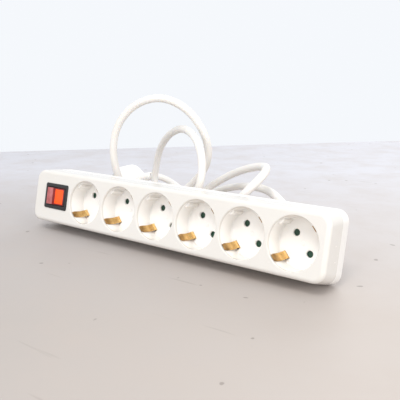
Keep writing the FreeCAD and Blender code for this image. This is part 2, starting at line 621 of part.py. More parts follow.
def make_inlet():
    wall = -size("back_length") / 2
    depth = size("inlet_depth")
    cord = size("cord_diameter") / 2
    along = Vector(-1, 0, 0)
    sleeve = relief_loft(5.6, 4.7).cut(Part.makeCylinder(9.0, 4.0, Vector(wall - 0.75, depth, 0), Vector(1, 0, 0)))
    collar = Part.makeCylinder(6.6, 1.45, Vector(wall - 0.75, depth, 0), along)
    neck = Part.makeCylinder(4.85, 4.4, Vector(wall + 3.6, depth, 0), along)
    flange = Part.makeCylinder(6.2, 1.8, Vector(wall + 5.2, depth, 0), along)
    flange = flange.cut(Part.makeBox(6, 6, 20, Vector(wall + 1, size("case_depth") - size("shell_wall") - 0.1, -10)))
    way = Part.makeCylinder(cord, 8.0, Vector(wall + 7.0, depth, 0), along)
    shape = sleeve.fuse([collar, neck, flange]).cut(relief_loft(cord, cord)).cut(way)
    keep(solid("bend_relief", shape), "bend_relief")

    inner = Part.makeCylinder(cord, 14.0, Vector(wall + 14.0, depth, 0), along)
    keep(solid("cord_tail", relief_loft(cord, cord).fuse(inner).removeSplitter()), "cord_tail")

    clamp = Part.makeBox(4.0, 4.2, 21.0, Vector(wall + 8.4, depth - cord - 1.8, -10.5))
    saddle = Part.makeCylinder(cord + 0.02, 10.0, Vector(wall + 6.0, depth, 0), Vector(1, 0, 0))
    shape = clamp.cut(saddle)
    for side in (-1, 1):
        shape = shape.cut(Part.makeCylinder(1.25, 9.0, Vector(wall + 10.4, depth - 9, side * 7.6), Vector(0, 1, 0)))
    keep(solid("cord_clamp", shape), "cord_clamp")
    feet = [Part.makeBox(3.7, size("plinth_depth") - 2 - depth + 1.2, 5.0,
                         Vector(wall + 8.7, depth - 1.2, side * 7.6 - 2.5)) for side in (-1, 1)]
    keep(solid("clamp_feet", Part.makeCompound(feet)), "clamp_feet")
    screws = []
    for side in (-1, 1):
        shank = Part.makeCylinder(1.2, 4.4, Vector(wall + 10.4, depth - cord - 1.9, side * 7.6), Vector(0, 1, 0))
        head = Part.makeCylinder(2.2, 1.6, Vector(wall + 10.4, depth - cord - 3.4, side * 7.6), Vector(0, 1, 0))
        screws.append(shank.fuse(head))
    keep(solid("clamp_screws", Part.makeCompound(screws)), "clamp_screws")


def make_wires():
    """Three cores from the cord to the switch and the bars, and the switched line back."""
    wall = -size("back_length") / 2
    depth = size("inlet_depth")
    routes = {
        "wire_line": [(wall + 15.2, depth, 1.9), (-139.0, 30.0, 4.5), (-137.2, 33.4, 6.4), (-135.4, 35.7, 3.0)],
        "wire_neutral": [(wall + 15.2, depth, -1.9), (-138.5, 29.5, -7.5), (-127.0, 31.5, -13.0),
                         (-109.0, 33.2, -10.5), (-101.0, 33.4, -7.6)],
        "wire_earth": [(wall + 15.2, depth + 1.9, 0), (-138.5, 33.8, -6.0), (-125.0, 35.6, -6.5),
                       (-111.4, 34.9, -1.6)],
        "wire_switched": [(-116.4, 35.4, 3.0), (-112.0, 34.2, 6.5), (-106.0, 33.4, 8.6), (-101.0, 33.4, 7.6)],
    }
    for name, route in routes.items():
        shape, length, radii = tube([Vector(*p) for p in route], 2.2)
        keep(solid(name, shape), name)


# ---- the supply cord, in the leaning strip's outer frame: +Z up, the ground at Z = 0 ----

CORD_ROUTE = [
    (-179.9, 14.9, 27.5), (-200.4, 28.9, 24.4), (-212, 56.7, 17), (-203, 86.7, 9),
    (-176, 107.7, 5), (-144, 107.7, 4.5), (-120, 87.7, 8), (-111, 62.7, 24),
    (-110, 48.7, 50), (-111, 43.7, 76), (-104, 44.7, 103), (-85, 50.7, 124),
    (-58, 58.7, 132), (-34, 66.7, 123), (-20, 75.7, 104), (-15, 82.7, 82),
    (-21, 86.7, 63), (-36, 89.7, 47), (-54, 92.7, 33), (-76, 97.7, 20),
    (-98, 103.7, 15), (-114, 110.7, 30), (-110, 110.7, 52), (-98, 104.7, 75),
    (-75, 93.7, 92), (-45, 78.7, 101), (-17, 62.7, 95), (0, 50.7, 79),
    (5, 43.7, 58), (-5, 42.7, 35), (-26, 49.7, 15), (-44, 61.7, 13),
    (-51, 79.7, 15), (-45, 95.7, 24), (-29, 105.7, 39), (-5, 103.7, 53),
    (20, 96.7, 63), (43, 85.7, 69), (60, 68.7, 71), (62, 52.7, 64),
    (52, 42.7, 51), (35, 43.7, 31), (10, 51.7, 13), (-18, 60.7, 4.5),
    (-48, 69.7, 4.5), (-75, 85.7, 4.5), (-86, 110.7, 5), (-74, 132.7, 13),
    (-47, 136.7, 25), (-16, 124.7, 36), (12, 106.7, 43), (36, 92.7, 47),
    (57, 80.7, 47), (76, 69.7, 40), (92, 70.7, 23), (102, 89.7, 8),
    (92, 118.7, 4.5), (62, 142.7, 4.5), (20, 151.7, 4.5), (-26, 153.7, 4.5),
    (-72, 154.7, 6), (-106, 151.7, 17), (-132, 149.7, 31), (-150, 148.7, 30.5),
]


def make_cord():
    points = [Vector(*p) for p in CORD_ROUTE]
    shape, length, radii = tube(points, size("cord_diameter"))
    section = math.pi * size("cord_diameter") ** 2 / 4
    print("cord length %.0f mm, volume against section times length %.4f"
          % (length, shape.Volume / (section * length)))
    print("cord radii", " ".join("%.0f" % r for r in radii))
    keep(solid("supply_cord", shape), "supply_cord", leaning=False)


# ---- plug: two-pin earthed plug lying on its rim, the tail held up by the stiff cord ----

PLUG_TAIL = Vector(*CORD_ROUTE[-1])
PLUG_RISE = 13.8        # degrees, face low and tail high
PLUG_LENGTH = 50.0      # face to the end of its bend relief


def plug_place():
    a = math.radians(PLUG_RISE)
    axis = Vector(math.cos(a), 0, math.sin(a))
    return Placement(PLUG_TAIL - axis * PLUG_LENGTH,
                     Rotation(axis, Vector(0, 1, 0), axis.cross(Vector(0, 1, 0)), "XYZ"))


def keep_plug(obj, label):
    """A plug part, drawn with its face at X = 0 and its tail towards +X."""
    obj.Label = label
    obj.Placement = plug_place()
    parts.append(obj)


def make_plug():
    radius = size("plug_radius")
    front = size("plug_depth")
    profile = [(0, 0), (0, radius - 1.2), (1.2, radius), (front, radius), (front + 3, radius - 0.8),
               (front + 9, radius - 5.5), (front + 13, radius - 9.0), (front + 16, radius - 10.4),
               (front + 16, 0)]
    wire = Part.makePolygon([Vector(px, py, 0) for px, py in profile + profile[:1]])
    body = Part.Face(wire).revolve(Vector(0, 0, 0), Vector(1, 0, 0), 360)
    for side in (-1, 1):
        body = body.cut(Part.makeCylinder(size("pin_root_radius"), 12, Vector(-1, 0, side * size("pin_spacing") / 2),
                                          Vector(1, 0, 0)))
        body = body.cut(Part.makeBox(front + 2, 3.4, 6.4, Vector(-1, side * (radius - 1.7) - 1.7, -3.2)))
        body = body.cut(Part.makeBox(front + 2, 6.4, 3.0,
                                     Vector(-1, -3.2, side * (radius - 0.8) - 1.5)))
    body = body.cut(Part.makeCylinder(size("cord_diameter") / 2 + 1.6, 6, Vector(front + 11, 0, 0), Vector(1, 0, 0)))
    keep_plug(solid("plug_body", body), "plug_body")

    pins = []
    for side in (-1, 1):
        z = side * size("pin_spacing") / 2
        length = size("plug_pin_length")
        root = Part.makeCylinder(size("pin_root_radius"), 10.8, Vector(-1.8, 0, z), Vector(1, 0, 0))
        shank = Part.makeCylinder(size("plug_pin_radius"), length - 2.0, Vector(-length + 1.2, 0, z), Vector(1, 0, 0))
        tip = Part.makeCone(1.3, size("plug_pin_radius"), 1.2, Vector(-length, 0, z), Vector(1, 0, 0))
        pins.append(shank.fuse([tip, root]).removeSplitter())
    keep_plug(solid("plug_pins", Part.makeCompound(pins)), "plug_pins")

    clips = []
    for side in (-1, 1):
        clips.append(Part.makeBox(front - 1.5, 0.8, 5.6, Vector(0.3, side * (radius - 2.4) - 0.4, -2.8)))
    keep_plug(solid("plug_earth_contacts", Part.makeCompound(clips)), "plug_earth_contacts")

    cord = size("cord_diameter") / 2
    sleeve = Part.makeCone(cord + 1.5, cord + 0.9, PLUG_LENGTH - front - 11, Vector(front + 11, 0, 0), Vector(1, 0, 0))
    way = Part.makeCylinder(cord, PLUG_LENGTH, Vector(front + 12, 0, 0), Vector(1, 0, 0))
    keep_plug(solid("plug_relief", sleeve.cut(way)), "plug_relief")


def check_and_write():
    doc.recompute()
    for obj in doc.Objects:
        if "Invalid" in obj.State or "Error" in obj.State:
            raise RuntimeError("%s is in state %s" % (obj.Name, obj.State))
    os.makedirs("parts", exist_ok=True)
    whole = FreeCAD.BoundBox()
    for obj in parts:
        if obj.Shape.isNull() or not obj.Shape.isValid():
            raise RuntimeError("%s has no valid shape" % obj.Label)
        obj.Shape.exportStep("parts/%s.step" % obj.Label)
        if not obj.Label.startswith(("supply_cord", "plug", "bend_relief", "cord_tail")):
            whole.add(obj.Shape.BoundBox)
        print("%-22s %9.1f mm3, %d solids" % (obj.Label, obj.Shape.Volume, len(obj.Shape.Solids)))
    print("case box x %.2f %.2f, y %.2f %.2f, z %.2f %.2f, centre y %.3f" % (
        whole.XMin, whole.XMax, whole.YMin, whole.YMax, whole.ZMin, whole.ZMax, (whole.YMin + whole.YMax) / 2))
    print("%d parts written" % len(parts))


make_cover()
make_base()
for number in SOCKETS:
    make_well(number)
    make_shutter(number)
make_carrier()
make_springs()
make_bar("line_bar", 1, -106.0)
make_bar("neutral_bar", -1, -106.0)
make_earth_bar()
make_switch()
make_screws()
make_inlet()
make_wires()
make_cord()
make_plug()
check_and_write()
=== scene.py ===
import bpy
import bmesh
import math
from mathutils import Matrix, Vector


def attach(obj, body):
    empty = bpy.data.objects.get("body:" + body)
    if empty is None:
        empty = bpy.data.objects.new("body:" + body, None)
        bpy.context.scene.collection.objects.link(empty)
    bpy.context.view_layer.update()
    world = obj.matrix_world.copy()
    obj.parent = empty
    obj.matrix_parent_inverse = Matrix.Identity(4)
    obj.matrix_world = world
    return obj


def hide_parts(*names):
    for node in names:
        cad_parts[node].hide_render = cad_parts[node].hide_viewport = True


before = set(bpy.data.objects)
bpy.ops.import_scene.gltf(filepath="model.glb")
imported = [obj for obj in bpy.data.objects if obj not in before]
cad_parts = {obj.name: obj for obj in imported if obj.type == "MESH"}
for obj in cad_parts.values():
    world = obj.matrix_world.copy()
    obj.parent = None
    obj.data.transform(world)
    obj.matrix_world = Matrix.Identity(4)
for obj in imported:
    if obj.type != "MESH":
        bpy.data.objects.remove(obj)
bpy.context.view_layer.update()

# the case is drawn level, in millimetres: X along it, Y from its face into it, Z up the face
caseStand = {"lean": 12.6, "back": -19.073, "up": 35.15}
caseTurn = (Matrix.Translation((0, caseStand["back"] / 1000, caseStand["up"] / 1000))
            @ Matrix.Rotation(-math.radians(caseStand["lean"]), 4, "X") @ Matrix.Scale(0.001, 4))


# a shader socket that takes part in sums
class Grade:
    def __init__(self, finish, socket):
        self.finish, self.socket = finish, socket

    def sum(self, operation, first, second):
        return self.finish.node("ShaderNodeMath", {"operation": operation}, {0: first, 1: second})

    def __add__(self, other):
        return self.sum("ADD", self, other)

    def __radd__(self, other):
        return self.sum("ADD", other, self)

    def __sub__(self, other):
        return self.sum("SUBTRACT", self, other)

    def __rsub__(self, other):
        return self.sum("SUBTRACT", other, self)

    def __mul__(self, other):
        return self.sum("MULTIPLY", self, other)

    def __rmul__(self, other):
        return self.sum("MULTIPLY", other, self)

    def size(self):
        return self.sum("ABSOLUTE", self, 0.0)


# a material and its nodes; node() takes the type, its settings, then its sockets
class Finish:
    def __init__(self, name):
        self.material = bpy.data.materials.new(name)
        self.material.use_nodes = True
        self.tree = self.material.node_tree
        self.tree.nodes.clear()
        self.output = self.tree.nodes.new("ShaderNodeOutputMaterial")

    def node(self, kind, settings=None, values=None, out=0):
        made = self.tree.nodes.new(kind)
        for name, value in (settings or {}).items():
            if name == "stops":
                ramp = made.color_ramp
                while len(ramp.elements) > len(value):
                    ramp.elements.remove(ramp.elements[-1])
                for i, (place, colour) in enumerate(value):
                    stop = ramp.elements[i] if i < len(ramp.elements) else ramp.elements.new(place)
                    stop.position = place
                    stop.color = (*colour, 1)
            else:
                setattr(made, name, value)
        for name, value in (values or {}).items():
            self.plug(made.inputs[name], value)
        return Grade(self, made.outputs[out])

    def plug(self, socket, value):
        if isinstance(value, Grade):
            self.tree.links.new(value.socket, socket)
        elif isinstance(value, tuple) and socket.type == "RGBA" and len(value) == 3:
            socket.default_value = (*value, 1)
        else:
            socket.default_value = value

    def place(self):
        return self.node("ShaderNodeTexCoord", out="Object")

    def axes(self, vector):
        made = self.node("ShaderNodeSeparateXYZ", None, {0: vector})
        outs = made.socket.node.outputs
        return [Grade(self, outs[i]) for i in range(3)]

    def noise(self, scale, detail=2.0, rough=0.5, vector=None):
        return self.node("ShaderNodeTexNoise", None, {"Vector": vector or self.place(), "Scale": scale,
                                                      "Detail": detail, "Roughness": rough}, out=0)

    def ramp(self, value, low, high, bottom=0.0, top=1.0):
        return self.node("ShaderNodeMapRange", None, {"Value": value, "From Min": low, "From Max": high,
                                                      "To Min": bottom, "To Max": top})

    def blend(self, factor, first, second):
        made = self.tree.nodes.new("ShaderNodeMix")
        made.data_type = "RGBA"
        self.plug(made.inputs[0], factor)
        self.plug(made.inputs[6], first)
        self.plug(made.inputs[7], second)
        return Grade(self, made.outputs[2])

    def bump(self, height, strength, distance):
        return self.node("ShaderNodeBump", None, {"Height": height, "Strength": strength,
                                                  "Distance": distance})

    def close(self, **values):
        shader = self.node("ShaderNodeBsdfPrincipled", None,
                           {name.replace("_", " "): value for name, value in values.items()})
        self.plug(self.output.inputs["Surface"], shader)
        return self.material


# moulded plastic: faint mottling, a fine grain in the gloss and a little dust in the matt spots
def mouldedPlastic(name, colour, deeper, gloss, grain=900.0, bumpSize=0.00002, coat=0.0, coatGloss=0.1,
                   through=0.0):
    finish = Finish(name)
    broad = finish.noise(14.0, 3.0)
    fine = finish.noise(grain, 2.0, 0.6)
    specks = finish.ramp(finish.noise(420.0, 1.0), 0.72, 0.80)
    colourOut = finish.blend(finish.ramp(broad, 0.35, 0.70) * 0.55 + specks * 0.18, colour, deeper)
    roughness = finish.ramp(broad, 0.3, 0.7, gloss * 0.85, gloss * 1.2) + specks * 0.12
    return finish.close(Base_Color=colourOut, Roughness=roughness, IOR=1.5, Coat_Weight=coat,
                        Coat_Roughness=coatGloss, Subsurface_Weight=through,
                        Subsurface_Radius=(0.004, 0.0034, 0.0026), Subsurface_Scale=0.4,
                        Normal=finish.bump(fine, 0.25, bumpSize))


# soft vinyl of cords: drawn lengthwise, a little uneven, with a waxy sheen
def cordVinyl(name, colour, deeper, gloss):
    finish = Finish(name)
    patches = finish.noise(38.0, 3.0)
    skin = finish.noise(1600.0, 2.0, 0.7)
    scuffs = finish.ramp(finish.noise(240.0, 4.0, 0.7), 0.60, 0.72)
    colourOut = finish.blend(finish.ramp(patches, 0.35, 0.68) * 0.7 + scuffs * 0.15, colour, deeper)
    roughness = finish.ramp(patches, 0.3, 0.7, gloss * 0.85, gloss * 1.2) + scuffs * 0.1
    return finish.close(Base_Color=colourOut, Roughness=roughness, Subsurface_Weight=0.12,
                        Subsurface_Radius=(0.004, 0.003, 0.002), Subsurface_Scale=0.4,
                        Normal=finish.bump(skin, 0.2, 0.00003))


# stamped metal: rolled grain along one way, duller where it has been handled
def stampedMetal(name, colour, tarnish, gloss, stretch=(30.0, 900.0, 900.0)):
    finish = Finish(name)
    along = finish.node("ShaderNodeMapping", None, {"Vector": finish.place(), "Scale": stretch})
    grain = finish.noise(1.0, 3.0, 0.6, along)
    stain = finish.ramp(finish.noise(160.0, 3.0), 0.42, 0.75)
    return finish.close(Base_Color=finish.blend(stain * 0.7, colour, tarnish), Metallic=1.0,
                        Roughness=finish.ramp(grain, 0.3, 0.7, gloss * 0.8, gloss * 1.25) + stain * 0.12,
                        Normal=finish.bump(grain, 0.15, 0.00002))


print("finishes")
shellWhite = mouldedPlastic("shellWhite", (0.73, 0.705, 0.665), (0.70, 0.67, 0.625), 0.22, coat=0.25,
                            coatGloss=0.12, through=0.05)
# painted light: the wells' white is paler than the shell's, standing in for light reaching into the wells
wellWhite = mouldedPlastic("wellWhite", (0.93, 0.91, 0.88), (0.89, 0.865, 0.82), 0.18, coat=0.3,
                           coatGloss=0.08, through=0.05)
backWhite = mouldedPlastic("backWhite", (0.84, 0.82, 0.79), (0.81, 0.785, 0.75), 0.30, bumpSize=0.00005)
shutterGreen = mouldedPlastic("shutterGreen", (0.008, 0.055, 0.028), (0.005, 0.035, 0.018), 0.4)
innerGrey = mouldedPlastic("innerGrey", (0.42, 0.42, 0.40), (0.36, 0.36, 0.34), 0.5)
bezelBlack = mouldedPlastic("bezelBlack", (0.012, 0.012, 0.013), (0.02, 0.02, 0.021), 0.32)
plugWhite = mouldedPlastic("plugWhite", (0.88, 0.86, 0.83), (0.85, 0.825, 0.79), 0.32, through=0.05)
cordWhite = cordVinyl("cordWhite", (0.81, 0.785, 0.75), (0.77, 0.735, 0.69), 0.38)
reliefWhite = cordVinyl("reliefWhite", (0.88, 0.86, 0.825), (0.83, 0.80, 0.76), 0.45)
coreBrown = cordVinyl("coreBrown", (0.12, 0.05, 0.025), (0.08, 0.035, 0.02), 0.4)
coreBlue = cordVinyl("coreBlue", (0.02, 0.09, 0.42), (0.015, 0.06, 0.32), 0.4)
brassSheet = stampedMetal("brassSheet", (0.88, 0.60, 0.22), (0.62, 0.40, 0.16), 0.28)
earthBrass = stampedMetal("earthBrass", (0.92, 0.58, 0.22), (0.66, 0.44, 0.20), 0.24)
zincSteel = stampedMetal("zincSteel", (0.62, 0.63, 0.65), (0.45, 0.46, 0.48), 0.3)
pinNickel = stampedMetal("pinNickel", (0.74, 0.73, 0.70), (0.56, 0.55, 0.52), 0.2)


# green and yellow stripes wound along the earth core
def earthCore():
    finish = Finish("coreEarth")
    x, y, z = finish.axes(finish.place())
    wave = finish.node("ShaderNodeMath", {"operation": "SINE"}, {0: (x + y * 0.6 + z * 1.4) * 900.0})
    stripe = finish.ramp(wave, -0.15, 0.15)
    colour = finish.blend(stripe, (0.06, 0.30, 0.04), (0.75, 0.62, 0.03))
    return finish.close(Base_Color=colour, Roughness=finish.ramp(finish.noise(60.0), 0.3, 0.7, 0.36, 0.5))


coreEarth = earthCore()


# a mesh drawn in the level case, or turned by a matrix of its own
def newMesh(name, bm, material, smooth=40.0, turn=None, merge=True):
    if merge:
        bmesh.ops.remove_doubles(bm, verts=bm.verts, dist=0.0008)
    bmesh.ops.recalc_face_normals(bm, faces=bm.faces)
    mesh = bpy.data.meshes.new(name)
    bm.to_mesh(mesh)
    bm.free()
    mesh.transform(caseTurn if turn is None else turn)
    made = bpy.data.objects.new(name, mesh)
    bpy.context.scene.collection.objects.link(made)
    mesh.materials.append(material)
    if smooth:
        softEdges(made, smooth)
    return made


# smooth shading with hard edges kept above an angle
def softEdges(made, angle):
    mesh = made.data
    bm = bmesh.new()
    bm.from_mesh(mesh)
    for face in bm.faces:
        face.smooth = True
    limit = math.radians(angle)
    for edge in bm.edges:
        edge.smooth = len(edge.link_faces) != 2 or edge.calc_face_angle(3.2) < limit
    bm.to_mesh(mesh)
    bm.free()


def roundedLoop(length, height, depth, radius, steps=10):
    points = []
    for cx, cz, start in ((1, 1, 0), (-1, 1, 90), (-1, -1, 180), (1, -1, 270)):
        for step in range(steps + 1):
            a = math.radians(start + 90 * step / steps)
            points.append(Vector((cx * (length / 2 - radius) + radius * math.cos(a), depth,
                                  cz * (height / 2 - radius) + radius * math.sin(a))))
    return points


def skin(bm, loops, closed=False):
    rings = [[bm.verts.new(point) for point in loop] for loop in loops]
    pairs = list(zip(rings, rings[1:])) + ([(rings[-1], rings[0])] if closed else [])
    for first, second in pairs:
        count = len(first)
        for i in range(count):
            bm.faces.new((first[i], first[(i + 1) % count], second[(i + 1) % count], second[i]))
    if not closed:
        bm.faces.new(rings[0][::-1])
        bm.faces.new(rings[-1])


def lathe(bm, profile, centre=(0, 0, 0), steps=64, closed=False):
    loops = []
    for depth, radius in profile:
        loops.append([Vector((centre[0] + radius * math.cos(math.tau * i / steps), centre[1] + depth,
                              centre[2] + radius * math.sin(math.tau * i / steps))) for i in range(steps)])
    skin(bm, loops, closed=closed)


def slab(bm, x, y, z, turn=None):
    square = ((x[0], z[0]), (x[1], z[0]), (x[1], z[1]), (x[0], z[1]))
    corners = [Vector((px, py, pz)) for py in y for px, pz in square]
    if turn is not None:
        corners = [turn @ corner for corner in corners]
    verts = [bm.verts.new(corner) for corner in corners]
    for face in ((0, 1, 2, 3), (7, 6, 5, 4), (0, 4, 5, 1), (1, 5, 6, 2), (2, 6, 7, 3), (3, 7, 4, 0)):
        bm.faces.new([verts[i] for i in face])


# cuts one closed mesh out of another and keeps a plain mesh
def carve(made, bm, smooth=40.0):
    bmesh.ops.recalc_face_normals(bm, faces=bm.faces)
    mesh = bpy.data.meshes.new("cutter")
    bm.to_mesh(mesh)
    bm.free()
    mesh.transform(caseTurn)
    cutter = bpy.data.objects.new("cutter", mesh)
    bpy.context.scene.collection.objects.link(cutter)
    modifier = made.modifiers.new("cut", "BOOLEAN")
    modifier.operation, modifier.solver, modifier.object = "DIFFERENCE", "EXACT", cutter
    modifier.use_self = True
    bpy.context.view_layer.update()
    result = bpy.data.meshes.new_from_object(made.evaluated_get(bpy.context.evaluated_depsgraph_get()))
    made.modifiers.clear()
    made.data = result
    bpy.data.objects.remove(cutter)
    if smooth:
        softEdges(made, smooth)


# shading that keeps the flat walls flat beside their rounded edges
def evenShade(made):
    weighted = made.modifiers.new("shade", "WEIGHTED_NORMAL")
    weighted.keep_sharp = True
    weighted.weight = 80


def standFor(piece, slot, *nodes, body="strip"):
    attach(piece, body)
    if nodes:
        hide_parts(*nodes)


# front shell and back shell
print("case")
case = {
    "faceLength": 317.98, "faceHeight": 50.36, "seamLength": 317.4, "seamHeight": 54.53, "seamDepth": 22.0,
    "backLength": 316.0, "backHeight": 56.96, "depth": 35.0, "corner": 9.5, "faceRound": 3.46,
    "backRound": 1.5, "wall": 2.2, "faceWall": 2.5, "plinthLength": 304.0, "plinthHeight": 45.0,
    "plinthDepth": 39.0,
    "seamGap": 0.28,
}
sockets = {"count": 6, "pitch": 43.6, "last": 131.75, "rim": 20.25, "rimRound": 0.7, "floorRadius": 19.7,
           "floorRound": 1.2, "outside": 21.6, "depth": 17.5, "floor": 2.0, "pinHole": 2.7,
           "pinSpacing": 19.0, "pinTurn": 132.0}
switch = {"x": -126.05, "z": 0.95, "bezelLength": 32.0, "bezelHeight": 24.7, "bodyLength": 28.2,
          "bodyHeight": 21.6, "pivot": 3.6, "tilt": 8.0, "valley": 6.3, "rockerLength": 25.4,
          "rockerHeight": 16.8, "axleReach": 10.4, "axleRadius": 1.25, "crown": 4.0}
socketX = [sockets["last"] - sockets["pitch"] * (sockets["count"] - 1 - i) for i in range(sockets["count"])]
screwPlaces = [(x, side * (19.5 if abs(x) < 140 else 16.5)) for x in (-152.0, -64.45, 22.75, 109.95, 152.0)
               for side in (-1, 1)]


def quarterRound(length, height, depth, corner, rounding, inward, steps=8):
    loops = []
    for step in range(steps + 1):
        a = math.pi / 2 * step / steps
        inset = rounding * (1 - math.sin(a))
        loops.append(roundedLoop(length - 2 * inset, height - 2 * inset,
                                 depth + inward * rounding * (1 - math.cos(a)), corner - inset))
    return loops


# an outline of the case at one of its named sizes, less an amount across
def caseLoop(part, depth, less, corner):
    return roundedLoop(case[part + "Length"] - less, case[part + "Height"] - less, depth, corner)


def makeCover():
    c = case
    thick, inside = 2 * c["wall"], c["corner"] - c["wall"]
    loops = quarterRound(c["faceLength"], c["faceHeight"], 0, c["corner"], c["faceRound"], 1)
    inset = c["seamGap"]
    loops += [caseLoop("seam", c["seamDepth"] - inset, 0, c["corner"]),
              caseLoop("seam", c["seamDepth"], inset, c["corner"] - inset / 2),
              caseLoop("seam", c["seamDepth"], thick, inside), caseLoop("face", c["faceWall"], thick, inside)]
    bm = bmesh.new()
    skin(bm, loops)
    cover = newMesh("frontShell", bm, shellWhite, 30)
    cuts = bmesh.new()
    for x in socketX:
        profile = [(-1.0, sockets["rim"] + sockets["rimRound"] + 0.35)]
        for step in range(7):
            a = math.pi / 2 * step / 6
            profile.append((sockets["rimRound"] * (1 - math.cos(a)),
                            sockets["rim"] + sockets["rimRound"] * (1 - math.sin(a))))
        profile += [(4.0, sockets["rim"])]
        lathe(cuts, profile, (x, 0, 0), 128)
    slab(cuts, (switch["x"] - 14.3, switch["x"] + 14.3), (-1, 4), (switch["z"] - 11.0, switch["z"] + 11.0))
    carve(cover, cuts, 30)
    evenShade(cover)
    standFor(cover, "white_shell", "cover")


keyholes = {"sockets": (1, 4), "lift": 16.5, "head": 3.6, "headBack": 3.4, "slot": 1.8, "slotEnd": 5.5}
inlet = {"depth": 27.8, "radius": 4.95, "ends": (-166.0, -153.0)}
pads = {"along": (-139.2, 141.12), "up": (-10.5, 10.5), "radius": 3.6}


def makeBase():
    c = case
    thick, inside = 2 * c["wall"], c["corner"] - c["wall"]
    loops = [caseLoop("plinth", c["plinthDepth"], 2.6, 6.0),
             caseLoop("plinth", c["plinthDepth"] - 0.3, 1.5, 6.5),
             caseLoop("plinth", c["plinthDepth"] - 1.0, 0.9, 6.8), caseLoop("plinth", c["depth"], 0, 7.5)]
    loops += quarterRound(c["backLength"], c["backHeight"], c["depth"], c["corner"], c["backRound"], -1, 6)
    inset = c["seamGap"]
    loops += [caseLoop("seam", c["seamDepth"] + inset, 0, c["corner"]),
              caseLoop("seam", c["seamDepth"], inset, c["corner"] - inset / 2),
              caseLoop("seam", c["seamDepth"], thick, inside),
              caseLoop("back", c["depth"] - c["wall"], thick, inside),
              caseLoop("plinth", c["depth"] - c["wall"], 5, 5.0),
              caseLoop("plinth", c["plinthDepth"] - 2, 5, 5.0)]
    bm = bmesh.new()
    skin(bm, loops)
    base = newMesh("backShell", bm, backWhite, 30)
    cuts = bmesh.new()
    for x, z in screwPlaces:
        lathe(cuts, [(28.0, 3.0), (41.0, 3.0)], (x, 0, z), 24)
    for i in keyholes["sockets"]:
        x, z = socketX[i], keyholes["lift"]
        loop = []
        for step in range(25):      # round head, then the slot, then its round end
            a = math.radians(30 + 300 * step / 24)
            loop.append((x - keyholes["headBack"] + keyholes["head"] * math.cos(a),
                         z + keyholes["head"] * math.sin(a)))
        for step in range(9):
            a = math.radians(-90 + 180 * step / 8)
            loop.append((x + keyholes["slotEnd"] + keyholes["slot"] * math.cos(a),
                         z + keyholes["slot"] * math.sin(a)))
        skin(cuts, [[Vector((px, y, pz)) for px, pz in loop] for y in (36.0, 41.0)])
    carve(base, cuts, 30)
    neckCut = bmesh.new()
    turns = [math.tau * i / 32 for i in range(32)]
    rings = [[Vector((x, inlet["depth"] + inlet["radius"] * math.cos(a), inlet["radius"] * math.sin(a)))
              for a in turns] for x in inlet["ends"]]
    skin(neckCut, rings)
    carve(base, neckCut, 30)
    evenShade(base)
    standFor(base, "white_shell", "base")
    bm = bmesh.new()
    for x in pads["along"]:
        for z in pads["up"]:
            lathe(bm, [(c["plinthDepth"] - 0.4, pads["radius"]), (c["plinthDepth"], pads["radius"]),
                       (c["plinthDepth"], pads["radius"] - 0.3), (c["plinthDepth"], 0.0)], (x, 0, z), 32)
    standFor(newMesh("backPads", bm, innerGrey, 40), "white_shell")


makeCover()
makeBase()


# Geometry Nodes: sets a piece on points, makes it real and paints it
def repeatGroup(name, inputs):
    tree = bpy.data.node_groups.new(name, "GeometryNodeTree")
    for label, kind in inputs:
        tree.interface.new_socket(label, in_out="INPUT", socket_type="NodeSocket" + kind)
    tree.interface.new_socket("Geometry", in_out="OUTPUT", socket_type="NodeSocketGeometry")
    start = tree.nodes.new("NodeGroupInput")
    info = tree.nodes.new("GeometryNodeObjectInfo")
    spread = tree.nodes.new("GeometryNodeInstanceOnPoints")
    real = tree.nodes.new("GeometryNodeRealizeInstances")
    paint = tree.nodes.new("GeometryNodeSetMaterial")
    end = tree.nodes.new("NodeGroupOutput")
    for source, goal in ((start.outputs["Piece"], info.inputs["Object"]),
                         (info.outputs["Geometry"], spread.inputs["Instance"]),
                         (spread.outputs["Instances"], real.inputs["Geometry"]),
                         (real.outputs["Geometry"], paint.inputs["Geometry"]),
                         (start.outputs["Finish"], paint.inputs["Material"]),
                         (paint.outputs["Geometry"], end.inputs["Geometry"])):
        tree.links.new(source, goal)
    return tree, start, spread


# runs a group on a mesh with its named inputs set, and keeps what comes out as a plain mesh
def runGroup(name, mesh, tree, values):
    holder = bpy.data.objects.new(name, mesh)
    bpy.context.scene.collection.objects.link(holder)
    modifier = holder.modifiers.new("repeat", "NODES")
    modifier.node_group = tree
    keys = {item.name: item.identifier for item in tree.interface.items_tree if item.in_out == "INPUT"}
    for label, value in values.items():
        modifier[keys[label]] = value
    bpy.context.view_layer.update()
    result = bpy.data.meshes.new_from_object(holder.evaluated_get(bpy.context.evaluated_depsgraph_get()))
    holder.modifiers.clear()
    holder.data = result
    bpy.data.objects.remove(values["Piece"])
    return holder


# one piece repeated along the case
def alongCase(name, pattern, material, count, step):
    inputs = (("Piece", "Object"), ("Count", "Int"), ("Step", "Vector"), ("Finish", "Material"))
    tree, start, spread = repeatGroup(name + "Row", inputs)
    line = tree.nodes.new("GeometryNodeMeshLine")
    tree.links.new(start.outputs["Count"], line.inputs["Count"])
    tree.links.new(start.outputs["Step"], line.inputs["Offset"])
    tree.links.new(line.outputs["Mesh"], spread.inputs["Points"])
    return runGroup(name, bpy.data.meshes.new(name), tree,
                    {"Piece": pattern, "Count": count, "Step": step, "Finish": material})


pitchStep = (sockets["pitch"] / 1000, 0.0, 0.0)


def onAxis(x, y, angle, radius):
    a = math.radians(angle)
    return Vector((x + radius * math.cos(a), y, radius * math.sin(a)))


def radialTurn(x, angle):
    a = math.radians(angle)
    return Matrix.Translation((x, 0, 0)) @ Matrix.Rotation(-a, 4, "Y")


# socket wells
print("sockets")


